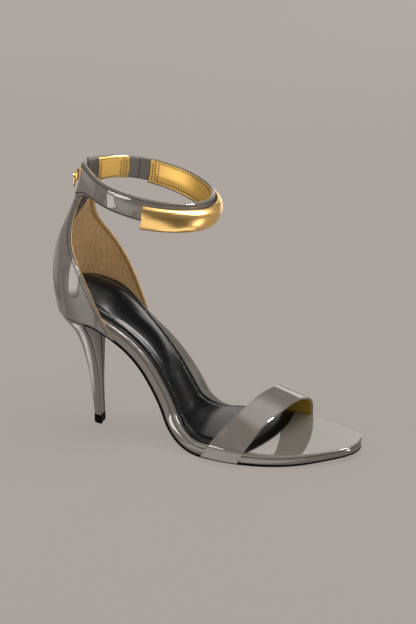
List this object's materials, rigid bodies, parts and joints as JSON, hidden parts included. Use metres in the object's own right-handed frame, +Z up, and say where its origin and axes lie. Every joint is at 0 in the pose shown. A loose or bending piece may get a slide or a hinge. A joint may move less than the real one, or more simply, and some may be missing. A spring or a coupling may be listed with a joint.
{
  "type": "ankle strap sandal",
  "caption": "Right stiletto sandal in grey patent leather: closed counter with back zip, ankle strap with a domed gold cuff plate, diagonal toe strap and padded black sock.",
  "frame": {"origin": "the heel tip's walking face, under the middle of the heel, on the floor", "axes": "+X forward to the toe, +Y to the medial (inner) side of the foot, +Z up"},
  "size_m": [0.2069, 0.077, 0.1844],
  "materials": {
    "black_rubber": "thin matt black rubber sheet",
    "grey_patent_midsole": "grey patent leather cover with a mirror gloss",
    "grey_patent_board": "grey patent leather cover with a mirror gloss",
    "black_sock_leather": "padded smooth black leather with a soft sheen",
    "grey_patent_heel": "grey patent leather cover with a mirror gloss",
    "black_tip_rubber": "hard black rubber",
    "grey_patent_leather": "grey patent leather with a mirror gloss",
    "grey_elastic": "dull woven grey elastic",
    "polished_gold_plate": "polished gold-coloured metal",
    "grey_patent_strap": "grey patent leather with a mirror gloss",
    "grey_zip_tape": "woven grey zip tape",
    "gold_zip_teeth": "gold-coloured metal teeth",
    "gold_zip_slider": "polished gold-coloured metal",
    "gold_zip_pull": "polished gold-coloured metal"
  },
  "bodies": {
    "shoe": {"outsole": "black_rubber", "midsole": "grey_patent_midsole", "insole_board": "grey_patent_board", "insole": "black_sock_leather", "heel": "grey_patent_heel", "heel_tip": "black_tip_rubber", "upper": "grey_patent_leather", "strap_gore": "grey_elastic", "cuff_plate": "polished_gold_plate", "toe_strap": "grey_patent_strap", "zip_tape": "grey_zip_tape", "zip_teeth": "gold_zip_teeth", "zip_slider": "gold_zip_slider"},
    "pull_tab": {"zip_pull": "gold_zip_pull"}
  },
  "joints": [
    {"name": "pull_tab_hinge", "type": "hinge", "parent": "shoe", "child": "pull_tab", "pos_m": [-0.01373, 0, 0.17424], "axis": [0, 1, 0], "range_deg": [0, 150]}
  ]
}
